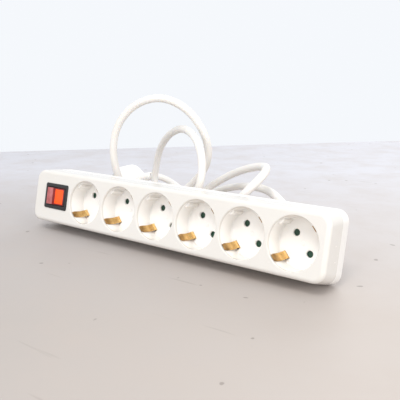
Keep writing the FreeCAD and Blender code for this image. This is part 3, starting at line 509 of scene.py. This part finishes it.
def makeWells():
    s = sockets
    x = socketX[0]
    bm = bmesh.new()
    under, bottom, rounding = case["faceWall"], s["depth"] + s["floor"], s["floorRound"]
    profile = [(bottom, 0.001), (bottom, s["outside"]), (under + 0.02, s["outside"]),
               (under + 0.02, s["rim"] + 0.02), (under + 0.5, s["rim"] - 0.03)]
    for step in range(6):
        a = math.pi / 2 * step / 5
        profile.append((s["depth"] - rounding + rounding * math.sin(a),
                        s["floorRadius"] - rounding * (1 - math.cos(a))))
    profile += [(s["depth"], 12.0), (s["depth"], 0.001)]
    lathe(bm, profile, (x, 0, 0), 96)
    well = newMesh("wellPattern", bm, wellWhite, 35)
    cuts = bmesh.new()
    for side in (0, 180):
        pin = onAxis(x, 0, s["pinTurn"] + side, s["pinSpacing"] / 2)
        lathe(cuts, [(15.0, 3.6), (s["depth"] + 0.02, 3.55), (s["depth"] + 0.6, s["pinHole"]),
                     (22.0, s["pinHole"])], (pin.x, 0, pin.z), 32)
        slab(cuts, (15.2, 19.0), (15.5, 22.0), (-3.6, 3.6), radialTurn(x, s["pinTurn"] + side - 90))
    carve(well, cuts, 35)
    ribs = bmesh.new()
    ribs.from_mesh(well.data)
    back = caseTurn.inverted()
    bmesh.ops.transform(ribs, matrix=back, verts=ribs.verts)
    for side in (0, 180):
        turn = radialTurn(x, s["pinTurn"] + side)
        half = [(20.4, -2.9), (18.6, -2.2), (18.25, -1.5), (18.2, 0.0)]
        loop = half + [(px, -pz) for px, pz in half[-2::-1]]
        skin(ribs, [[turn @ Vector((px, y, pz)) for px, pz in loop] for y in (under + 1.4, s["depth"] - 0.1)])
    # small moulding mark in the middle of the floor
    lathe(ribs, [(s["depth"] - 0.25, 1.1), (s["depth"] - 0.25, 1.6), (s["depth"] + 0.2, 1.9),
                 (s["depth"] + 0.2, 0.001)], (x, 0, 0), 32)
    bpy.data.objects.remove(well)
    pattern = newMesh("wellPattern", ribs, wellWhite, 35, merge=False)
    wells = alongCase("socketWells", pattern, wellWhite, s["count"], pitchStep)
    softEdges(wells, 35)
    standFor(wells, "white_insert", *["socket_well_%d" % (i + 1) for i in range(s["count"])])


# brass darker and duller near the rim, brighter and glossier deeper towards the floor of the well
def rimDarkBrass():
    finish = Finish("clipBrass")
    x, y, z = finish.axes(finish.place())
    lean = math.radians(caseStand["lean"])
    deep = (y - caseStand["back"] / 1000) * math.cos(lean) - (z - caseStand["up"] / 1000) * math.sin(lean)
    towardFloor = finish.ramp(deep + (finish.noise(500.0, 2.0) - 0.5) * 0.003, 0.0055, 0.0125)
    stain = finish.ramp(finish.noise(260.0, 3.0), 0.42, 0.72)
    colour = finish.blend(towardFloor, finish.blend(stain, (0.46, 0.27, 0.10), (0.22, 0.13, 0.05)),
                          finish.blend(stain, (1.0, 0.68, 0.28), (0.86, 0.50, 0.18)))
    roughness = finish.ramp(towardFloor, 0.0, 1.0, 0.46, 0.24) + stain * 0.08
    return finish.close(Base_Color=colour, Metallic=1.0, Roughness=roughness,
                        Normal=finish.bump(finish.noise(900.0, 2.0), 0.2, 0.00002))


clipBrass = rimDarkBrass()


# bent clips of the earth rail, a pair in every socket; the arm's points are radius and depth
clip = {"thick": 0.6, "width": 6.4, "tipWidth": 5.0, "edge": 0.00012,
        "arm": [(16.0, 34.6), (17.6, 33.6), (17.6, 21.6), (16.2, 20.0), (15.75, 18.0), (15.8, 16.6),
                (16.6, 14.6), (18.0, 12.2), (18.7, 10.4), (19.05, 7.4), (19.3, 4.2), (19.4, 1.4)]}
rail = {"ends": (-110.0, 145.7), "depth": (34.2, 35.0), "half": 3.0, "armReach": (2.0, 16.4)}


def makeClips():
    x, arm = socketX[0], clip["arm"]
    section = ((1, -1), (1, -0.33), (1, 0.33), (1, 1), (-1, 1), (-1, 0.33), (-1, -0.33), (-1, -1))
    bm = bmesh.new()
    for side in (-90, 90):
        turn = radialTurn(x, sockets["pinTurn"] + side)
        loops = []
        for i, (r, y) in enumerate(arm):
            before, after = Vector(arm[max(i - 1, 0)]), Vector(arm[min(i + 1, len(arm) - 1)])
            way = (after - before).normalized()
            out = Vector((-way.y, way.x)) * clip["thick"] / 2
            half = clip["width" if i < len(arm) - 1 else "tipWidth"] / 2
            loops.append([turn @ Vector((r + sx * out.x, y + sx * out.y, sz * half)) for sx, sz in section])
        skin(bm, loops)
    pattern = newMesh("clipPattern", bm, clipBrass, 30, merge=False)
    clips = alongCase("earthClips", pattern, clipBrass, sockets["count"], pitchStep)
    softEdges(clips, 32)
    bevel = clips.modifiers.new("edges", "BEVEL")
    bevel.width, bevel.segments, bevel.limit_method = clip["edge"], 2, "ANGLE"
    bevel.angle_limit = math.radians(50)
    bevel.harden_normals = False
    standFor(clips, "brass_contact", "earth_bar")
    bm = bmesh.new()
    slab(bm, rail["ends"], rail["depth"], (-rail["half"], rail["half"]))
    for centre in socketX:
        for side in (-90, 90):
            turn = radialTurn(centre, sockets["pinTurn"] + side)
            slab(bm, rail["armReach"], (34.32, 34.9), (-3.2, 3.2), turn)
    standFor(newMesh("earthRail", bm, earthBrass, 30, merge=False), "brass_contact")


makeWells()
makeClips()


# a piece set at each vertex of a small mesh
def atPlaces(name, pattern, material, places):
    inputs = (("Places", "Geometry"), ("Piece", "Object"), ("Size", "Float"), ("Finish", "Material"))
    tree, start, spread = repeatGroup(name + "Places", inputs)
    tree.links.new(start.outputs["Places"], spread.inputs["Points"])
    tree.links.new(start.outputs["Size"], spread.inputs["Scale"])
    mesh = bpy.data.meshes.new(name)
    mesh.from_pydata([tuple(place) for place in places], [], [])
    holder = runGroup(name, mesh, tree, {"Piece": pattern, "Size": 1.0, "Finish": material})
    softEdges(holder, 35)
    return holder


# cross-head case screws, drawn once at the middle of the case and set at every pillar
screwCross = {"long": (-1.6, 1.6), "narrow": (-0.38, 0.38), "depth": (28.9, 31.0)}


def makeScrews():
    bm = bmesh.new()
    lathe(bm, [(9.0, 0.4), (9.6, 1.2), (10.0, 1.45), (28.0, 1.45), (28.0, 2.75), (29.2, 2.75), (29.7, 2.3),
               (29.95, 1.5), (29.95, 0.001)], (0, 0, 0), 24)
    pattern = newMesh("screwPattern", bm, zincSteel, 35)
    for across, up in (("long", "narrow"), ("narrow", "long")):
        cuts = bmesh.new()
        slab(cuts, screwCross[across], screwCross["depth"], screwCross[up])
        carve(pattern, cuts, 35)
    way = caseTurn.to_3x3()
    screws = atPlaces("caseScrews", pattern, zincSteel, [way @ Vector((x, 0, z)) for x, z in screwPlaces])
    standFor(screws, "screw_steel", "case_screws")


makeScrews()


# rocker switch
print("switch")


# red lens: a painted glow in an orange window on the pressed half, a painted pale sheen where the other half
# stands up to the light, and painted shade round its edges
lens = {"deep": ((0.22, 0.010, 0.008), (0.14, 0.006, 0.006)),
        "paleSheen": ((0.50, 0.17, 0.17), (0.36, 0.09, 0.09)),
        "rim": (0.03, 0.012, 0.014), "lit": (0.42, 0.02, 0.0), "paintedGlow": (1.0, 0.10, 0.0), "power": 0.9}


def rockerLens():
    finish = Finish("rockerLens")
    turned = finish.node("ShaderNodeMapping", {"vector_type": "POINT"}, {
        "Vector": finish.place(), "Location": (-switch["x"] / 1000, 0.0, 0.0)})
    x, y, z = finish.axes(turned)
    lean = math.radians(caseStand["lean"])
    rise, back = z - caseStand["up"] / 1000, y - caseStand["back"] / 1000
    up = rise * math.cos(lean) + back * math.sin(lean) - switch["z"] / 1000
    cloud = finish.noise(220.0, 2.0)
    # painted sheen: left of this line the lens takes the pale colour
    beyond = finish.ramp(x, -0.0046, -0.0038)
    boxX = finish.ramp((x - 0.0040).size(), 0.0050, 0.0057, 1.0, 0.0)
    boxZ = finish.ramp(up.size(), 0.0066, 0.0073, 1.0, 0.0)
    window = boxX * boxZ
    # painted shade: a dark rim round the ends and the top and bottom edges of the lens
    edge = finish.ramp((x + 0.0012).size(), 0.0113, 0.0118) + finish.ramp(up.size(), 0.0078, 0.0083)
    deep = finish.blend(finish.ramp(cloud, 0.35, 0.7), *lens["deep"])
    paleSheen = finish.blend(finish.ramp(cloud, 0.3, 0.7), *lens["paleSheen"])
    colour = finish.blend(beyond, paleSheen, deep)
    colour = finish.blend(edge, colour, lens["rim"])
    # painted glow: the window shines orange by its own emission
    paintedGlow = finish.blend(window, (0.0, 0.0, 0.0), lens["paintedGlow"])
    colour = finish.blend(window, colour, lens["lit"])
    return finish.close(Base_Color=colour, Emission_Color=paintedGlow, Emission_Strength=lens["power"],
                        Roughness=finish.ramp(cloud, 0.3, 0.7, 0.16, 0.26), Coat_Weight=0.06,
                        Coat_Roughness=0.08, IOR=1.45)


def makeSwitch():
    s = switch
    x, z = s["x"], s["z"]
    bm = bmesh.new()
    loops = []

    def ring(length, height, y, corner):
        return [p + Vector((x, 0, z)) for p in roundedLoop(length, height, y, corner, 4)]

    loops.append(ring(s["bodyLength"] - 1.2, s["bodyHeight"] - 1.2, 26.0, 1.0))
    loops.append(ring(s["bodyLength"], s["bodyHeight"], 25.4, 1.0))
    loops.append(ring(s["bodyLength"], s["bodyHeight"], 0.06, 1.0))
    loops.append(ring(s["bezelLength"] - 0.3, s["bezelHeight"] - 0.3, 0.06, 1.6))
    loops.append(ring(s["bezelLength"], s["bezelHeight"], -0.1, 1.7))
    for step in range(5):
        a = math.pi / 2 * step / 4
        inset = 0.7 * (1 - math.cos(a))
        loops.append(ring(s["bezelLength"] - 2 * inset, s["bezelHeight"] - 2 * inset,
                          -0.35 - 0.65 * math.sin(a), 1.7 - inset * 0.6))
    loops.append(ring(s["rockerLength"] + 1.6, s["rockerHeight"] + 1.6, -1.0, 0.9))
    loops.append(ring(s["rockerLength"] + 0.9, s["rockerHeight"] + 0.8, -0.6, 0.6))
    loops.append(ring(s["rockerLength"] + 0.8, s["rockerHeight"] + 0.7, 15.8, 0.6))
    loops.append(ring(22.0, 14.0, 15.8, 0.6))
    loops.append(ring(22.0, 14.0, 24.0, 0.6))
    skin(bm, loops)
    housing = newMesh("switchHousing", bm, bezelBlack, 35)
    cuts = bmesh.new()
    for dx in (-9.0, 0.0, 9.0):
        slab(cuts, (x + dx - 0.5, x + dx + 0.5), (22.0, 28.0), (z - 3.3, z + 3.3))
    carve(housing, cuts, 35)
    standFor(housing, "black_bezel", "switch_housing")

    half, pivot = s["rockerLength"] / 2, s["pivot"]
    slope = math.tan(math.radians(s["valley"]))
    profile = [(0.0, s["crown"]), (0.5, s["crown"] + 0.02)]      # right half, from the middle outwards
    endTop = s["crown"] + half * 0.91 * slope
    endX = math.sqrt(half ** 2 - endTop ** 2)
    profile += [(px, s["crown"] + px * slope) for px in (3.0, 6.0, 9.0, endX - 0.9)]
    profile += [(endX - 0.35, endTop - 0.02), (endX - 0.02, endTop - 0.35)]
    profile += [(half * math.cos(a), half * math.sin(a)) for a in map(math.radians, (20, 14, 8, 2, -4))]
    profile += [(7.5, -5.0)]
    whole = profile[1:] + [(-px, py) for px, py in profile[1:][::-1]] + [profile[0]]
    bm = bmesh.new()
    rise = s["rockerHeight"] / 2
    loops = []
    for zz, inset in ((-rise, 0.35), (-rise + 0.12, 0.12), (-rise + 0.4, 0.0),
                      (rise - 0.4, 0.0), (rise - 0.12, 0.12), (rise, 0.35)):
        loops.append([Vector((x + px * (1 - inset / half), pivot - py * (1 - inset / 6.5), z + zz))
                      for px, py in whole])
    skin(bm, loops)
    reach, radius = s["axleReach"], s["axleRadius"]
    turns = [math.tau * i / 24 for i in range(24)]
    skin(bm, [[Vector((x + radius * math.cos(a), pivot + radius * math.sin(a), z + zz)) for a in turns]
              for zz in (-reach, reach - 0.4)])
    turn = (Matrix.Translation((x, pivot, 0)) @ Matrix.Rotation(math.radians(s["tilt"]), 4, "Z")
            @ Matrix.Translation((-x, -pivot, 0)))
    bmesh.ops.transform(bm, matrix=turn, verts=bm.verts)
    rocker = newMesh("rocker", bm, rockerLens(), 28, merge=False)
    standFor(rocker, "red_lens", "rocker", body="rocker_body")


makeSwitch()


# supply cord
print("cord")
cordFacts = {"diameter": 0.0076, "length": 1.73}
cordRadius = cordFacts["diameter"] * 500      # in millimetres, for the reliefs round it
cordRoute = [
    (-0.1799, 0.0149, 0.0275), (-0.2004, 0.0289, 0.0244), (-0.212, 0.0567, 0.017),
    (-0.203, 0.0867, 0.009), (-0.176, 0.1077, 0.005), (-0.144, 0.1077, 0.0045),
    (-0.12, 0.0877, 0.008), (-0.111, 0.0627, 0.024), (-0.11, 0.0487, 0.05),
    (-0.111, 0.0437, 0.076), (-0.104, 0.0447, 0.103), (-0.085, 0.0507, 0.124),
    (-0.058, 0.0587, 0.132), (-0.034, 0.0667, 0.123), (-0.02, 0.0757, 0.104),
    (-0.015, 0.0827, 0.082), (-0.021, 0.0867, 0.063), (-0.036, 0.0897, 0.047),
    (-0.054, 0.0927, 0.033), (-0.076, 0.0977, 0.02), (-0.098, 0.1037, 0.015),
    (-0.114, 0.1107, 0.03), (-0.11, 0.1107, 0.052), (-0.098, 0.1047, 0.075),
    (-0.075, 0.0937, 0.092), (-0.045, 0.0787, 0.101), (-0.017, 0.0627, 0.095),
    (0, 0.0507, 0.079), (0.005, 0.0437, 0.058), (-0.005, 0.0427, 0.035),
    (-0.026, 0.0497, 0.015), (-0.044, 0.0617, 0.013), (-0.051, 0.0797, 0.015),
    (-0.045, 0.0957, 0.024), (-0.029, 0.1057, 0.039), (-0.005, 0.1037, 0.053),
    (0.02, 0.0967, 0.063), (0.043, 0.0857, 0.069), (0.06, 0.0687, 0.071),
    (0.062, 0.0527, 0.064), (0.052, 0.0427, 0.051), (0.035, 0.0437, 0.031),
    (0.01, 0.0517, 0.013), (-0.018, 0.0607, 0.0045), (-0.048, 0.0697, 0.0045),
    (-0.075, 0.0857, 0.0045), (-0.086, 0.1107, 0.005), (-0.074, 0.1327, 0.013),
    (-0.047, 0.1367, 0.025), (-0.016, 0.1247, 0.036), (0.012, 0.1067, 0.043),
    (0.036, 0.0927, 0.047), (0.057, 0.0807, 0.047), (0.076, 0.0697, 0.04),
    (0.092, 0.0707, 0.023), (0.102, 0.0897, 0.008), (0.092, 0.1187, 0.0045),
    (0.062, 0.1427, 0.0045), (0.02, 0.1517, 0.0045), (-0.026, 0.1537, 0.0045),
    (-0.072, 0.1547, 0.006), (-0.106, 0.1517, 0.017), (-0.132, 0.1497, 0.031),
    (-0.15, 0.1487, 0.0305),
]


def makeCord():
    curve = bpy.data.curves.new("supplyCord", "CURVE")
    curve.dimensions = "3D"
    spline = curve.splines.new("NURBS")
    spline.points.add(len(cordRoute) - 1)
    for point, place in zip(spline.points, cordRoute):
        point.co = (*place, 1.0)
    spline.order_u = 3
    spline.use_endpoint_u = True
    spline.resolution_u = 6
    curve.bevel_depth = cordFacts["diameter"] / 2
    curve.bevel_resolution = 5
    curve.use_fill_caps = True
    curve.materials.append(cordWhite)
    cord = bpy.data.objects.new("supplyCord", curve)
    bpy.context.scene.collection.objects.link(cord)
    return cord


cord = makeCord()
standFor(cord, "cord_white", "supply_cord")


# tapered bend relief with grooves, bent towards the back
reliefShape = {"bend": 39.0, "turn": 35.0, "root": 5.6, "tip": 4.7, "grooves": 6, "depth": inlet["depth"]}


def makeRelief():
    r = reliefShape
    wall = -case["backLength"] / 2 + 0.5
    total = r["bend"] * math.radians(r["turn"])

    def ring(length, radius, count=32):
        turn = max(length, 0) / r["bend"]
        px = wall - r["bend"] * math.sin(turn) - min(length, 0)
        py = r["depth"] + r["bend"] * (1 - math.cos(turn))
        across = Vector((math.sin(turn), math.cos(turn), 0))
        return [Vector((px, py, 0)) + across * (radius * math.cos(math.tau * i / count))
                + Vector((0, 0, radius * math.sin(math.tau * i / count))) for i in range(count)]

    loops = [ring(-5.5, cordRadius + 0.1), ring(-5.5, 4.9), ring(-3.9, 4.9), ring(-3.8, 4.85),
             ring(0.7, 4.85), ring(0.8, 6.3), ring(1.3, 6.55), ring(2.3, 6.5), ring(2.7, 5.6)]
    share = (total - 5.0) / r["grooves"]
    for i in range(r["grooves"]):
        at = 3.2 + share * i
        radius = r["root"] + (r["tip"] - r["root"]) * at / total
        loops += [ring(at, radius), ring(at + share * 0.55, radius - 0.02),
                  ring(at + share * 0.62, radius - 0.7), ring(at + share * 0.93, radius - 0.72),
                  ring(at + share, radius - 0.08)]
    loops += [ring(total - 1.0, r["tip"]), ring(total - 0.25, r["tip"] - 0.1),
              ring(total - 0.02, r["tip"] - 0.35), ring(total - 0.02, cordRadius + 0.05)]
    bm = bmesh.new()
    skin(bm, loops, closed=True)
    relief = newMesh("bendRelief", bm, reliefWhite, 40, merge=False)
    standFor(relief, "relief_white", "bend_relief")
    return relief


relief = makeRelief()


# plug: lies on its rim, its tail held up by the cord
plugShape = {"tail": (-150.0, 148.7, 30.5), "rise": 13.8, "length": 50.0, "radius": 19.0, "front": 16.0,
             "grips": 14, "sleeveGrooves": 6}


def makePlug():
    p = plugShape
    a = math.radians(p["rise"])
    axis = Vector((math.cos(a), 0, math.sin(a)))
    side = Vector((0, 1, 0))
    third = axis.cross(side)
    stand = Matrix((axis, side, third)).transposed().to_4x4()
    stand = Matrix.Scale(0.001, 4) @ Matrix.Translation(Vector(p["tail"]) - axis * p["length"]) @ stand
    # lathes run along Y, the plug along X
    toPlug = Matrix(((0, 1, 0, 0), (1, 0, 0, 0), (0, 0, 1, 0), (0, 0, 0, 1)))
    radius, front = p["radius"], p["front"]
    bm = bmesh.new()
    profile = [(0.02, 0.001), (0.02, radius - 1.6), (0.15, radius - 0.9), (0.6, radius - 0.3),
               (1.3, radius - 0.02), (front - 0.4, radius - 0.02)]
    shoulder = ((1.2, 0.35), (3.0, 1.3), (5.5, 3.2), (9, 6.1), (12, 8.6), (14.5, 10.2), (15.6, 10.9),
                (15.95, 11.6))
    profile += [(front + along, radius - less) for along, less in shoulder]
    profile += [(front + 15.95, 0.001)]
    lathe(bm, profile, (0, 0, 0), 96)
    bmesh.ops.transform(bm, matrix=toPlug, verts=bm.verts)
    body = newMesh("plugBody", bm, plugWhite, 32, stand)
    cuts = bmesh.new()
    for sign in (-1, 1):
        contact, key = sign * (radius - 0.2), sign * (radius + 0.6)
        slab(cuts, (-1.0, front + 1.0), (contact - 2.2, contact + 2.2), (-3.3, 3.3))
        slab(cuts, (-1.0, front + 1.0), (-3.2, 3.2), (key - 1.6, key + 1.6))
    for i in range(p["grips"]):      # finger grooves round the shoulder
        turn = math.tau * (i + 0.5) / p["grips"]
        place = Vector((front + 9.5, (radius - 4.3) * math.cos(turn), (radius - 4.3) * math.sin(turn)))
        way = Vector((1.0, -0.78 * math.cos(turn), -0.78 * math.sin(turn))).normalized()
        spin = way.to_track_quat("X", "Z").to_matrix().to_4x4()
        slab(cuts, (-4.5, 4.5), (-0.55, 0.55), (-0.55, 0.55), Matrix.Translation(place) @ spin)
    bmesh.ops.recalc_face_normals(cuts, faces=cuts.faces)
    bmesh.ops.transform(cuts, matrix=caseTurn.inverted() @ stand, verts=cuts.verts)
    carve(body, cuts, 32)
    standFor(body, "plug_white", "plug_body")

    bm = bmesh.new()
    start, end = front + 15.2, p["length"] - 0.05
    profile = [(start, cordRadius + 0.1), (start, cordRadius + 1.45), (start + 1.2, cordRadius + 1.5)]
    count = p["sleeveGrooves"]
    share = (end - start - 3.0) / count
    for i in range(count):
        at = start + 1.6 + share * i
        r = cordRadius + 1.5 - 0.6 * i / count
        profile += [(at, r), (at + share * 0.55, r), (at + share * 0.65, r - 0.6),
                    (at + share * 0.92, r - 0.6)]
    profile += [(end - 0.6, cordRadius + 0.9), (end, cordRadius + 0.6), (end, cordRadius + 0.08)]
    lathe(bm, profile, (0, 0, 0), 40, closed=True)
    bmesh.ops.transform(bm, matrix=toPlug, verts=bm.verts)
    sleeve = newMesh("plugRelief", bm, reliefWhite, 40, stand, merge=False)
    standFor(sleeve, "relief_white", "plug_relief")
    return body, sleeve


plugBody, plugRelief = makePlug()


# finishes of the pieces that keep their drawn shape
print("inner pieces")


def lampGlass():
    finish = Finish("lampGlass")
    wave = finish.noise(300.0)
    return finish.close(Base_Color=finish.blend(wave, (1.0, 0.45, 0.2), (1.0, 0.3, 0.1)), Roughness=0.08,
                        Emission_Color=(1.0, 0.25, 0.05), Emission_Strength=1.5)


dress = {
    "contact_carrier": innerGrey, "cord_clamp": innerGrey, "clamp_feet": innerGrey,
    "line_bar": brassSheet, "neutral_bar": brassSheet, "switch_bridge": brassSheet,
    "switch_blades": brassSheet, "plug_earth_contacts": earthBrass, "plug_pins": pinNickel,
    "clamp_screws": zincSteel, "shutter_springs": zincSteel, "rocker_plunger": zincSteel,
    "cord_tail": cordWhite, "wire_line": coreBrown, "wire_switched": coreBrown, "wire_neutral": coreBlue,
    "wire_earth": coreEarth, "switch_lamp": lampGlass(),
}
for number in range(1, sockets["count"] + 1):
    dress["shutter_%d" % number] = shutterGreen
for node, material in dress.items():
    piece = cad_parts[node]
    piece.data.materials.clear()
    piece.data.materials.append(material)
    for polygon in piece.data.polygons:
        polygon.material_index = 0


# stand: floor, backdrop, lights and camera
print("stage")
stand = {"near": (0.48, 0.43, 0.395), "far": (0.60, 0.595, 0.63), "nearLeftShade": (0.36, 0.33, 0.31),
         "stain": (0.46, 0.40, 0.36), "scuff": (0.30, 0.265, 0.24), "speck": (0.20, 0.17, 0.15),
         "sky": (0.915, 0.94, 0.975), "skyPower": 1.0}


def makeFloor():
    finish = Finish("floorPaper")
    x, y, z = finish.axes(finish.place())
    # painted light falloff: the floor is darker near the camera and lighter and cooler far off
    depth = finish.ramp(y * 0.8 - x * 0.6, -0.15, 0.42)
    tone = finish.blend(depth, stand["near"], stand["far"])
    # painted shade: the floor greys towards the near left
    across = finish.ramp(x * 0.8 + y * 0.6, -0.22, 0.12, 0.85, 0.0)      # greyer towards the near left
    tone = finish.blend(across * (1.0 - depth), tone, stand["nearLeftShade"])
    tone = finish.blend(finish.ramp(finish.noise(16.0, 6.0, 0.7), 0.42, 0.66) * 0.34, tone, stand["stain"])
    scuff = finish.node("ShaderNodeMapping", None, {"Vector": finish.place(), "Rotation": (0.0, 0.0, 0.9),
                                                    "Scale": (9.0, 130.0, 1.0)})
    streaks = finish.ramp(finish.noise(1.0, 2.0, 0.5, scuff), 0.70, 0.76)
    tone = finish.blend(streaks * 0.45, tone, stand["scuff"])
    tone = finish.blend(finish.ramp(finish.noise(75.0, 1.0), 0.755, 0.775) * 0.6, tone, stand["speck"])
    finish.close(Base_Color=tone, Roughness=0.55, Specular_IOR_Level=0.35)
    mesh = bpy.data.meshes.new("floor")
    mesh.from_pydata([(-1.472, -0.612, 0), (-1.472, -1.8, 0), (2.4, -1.8, 0), (2.4, 2.128, 0),
                      (0.854, 2.128, 0)], [], [(0, 1, 2, 3, 4)])
    mesh.materials.append(finish.material)
    floor = bpy.data.objects.new("floor", mesh)
    bpy.context.scene.collection.objects.link(floor)


makeFloor()


def softLight(name, place, target, width, power, colour=(1, 1, 1)):
    light = bpy.data.lights.new(name, "AREA")
    light.shape, light.size = "DISK", width
    light.energy, light.color = power, colour
    made = bpy.data.objects.new(name, light)
    made.location = place
    made.rotation_euler = (Vector(target) - Vector(place)).to_track_quat("-Z", "Y").to_euler()
    bpy.context.scene.collection.objects.link(made)


softLight("keyLight", (0.35, -0.85, 1.3), (0, 0, 0.03), 0.6, 9.0, (1.0, 0.975, 0.94))
softLight("frontLight", (0.15, -1.3, 0.55), (0, 0, 0.03), 0.9, 3.5, (1.0, 0.98, 0.96))
softLight("sideLight", (1.4, -0.3, 0.45), (0.1, 0, 0.03), 0.8, 7.0, (1.0, 0.985, 0.97))
softLight("backLight", (-0.2, 1.3, 0.9), (0, 0.05, 0.05), 0.9, 5.0, (1.0, 0.99, 0.97))

world = bpy.data.worlds.new("studio")
bpy.context.scene.world = world
world.use_nodes = True
world.node_tree.nodes["Background"].inputs["Color"].default_value = (*stand["sky"], 1)
world.node_tree.nodes["Background"].inputs["Strength"].default_value = stand["skyPower"]

view = {"place": (0.3096, -0.3644, 0.1518), "way": (-0.58678, 0.78028, -0.21643), "lens": 50.58}
camera = bpy.data.cameras.new("camera")
camera.lens, camera.sensor_width = view["lens"], 36.0
camera.clip_start = 0.02
viewer = bpy.data.objects.new("camera", camera)
viewer.location = view["place"]
viewer.rotation_euler = Vector(view["way"]).to_track_quat("-Z", "Y").to_euler()
bpy.context.scene.collection.objects.link(viewer)
bpy.context.scene.camera = viewer
bpy.context.scene.view_settings.view_transform = "Standard"

bpy.context.view_layer.update()
print("done")
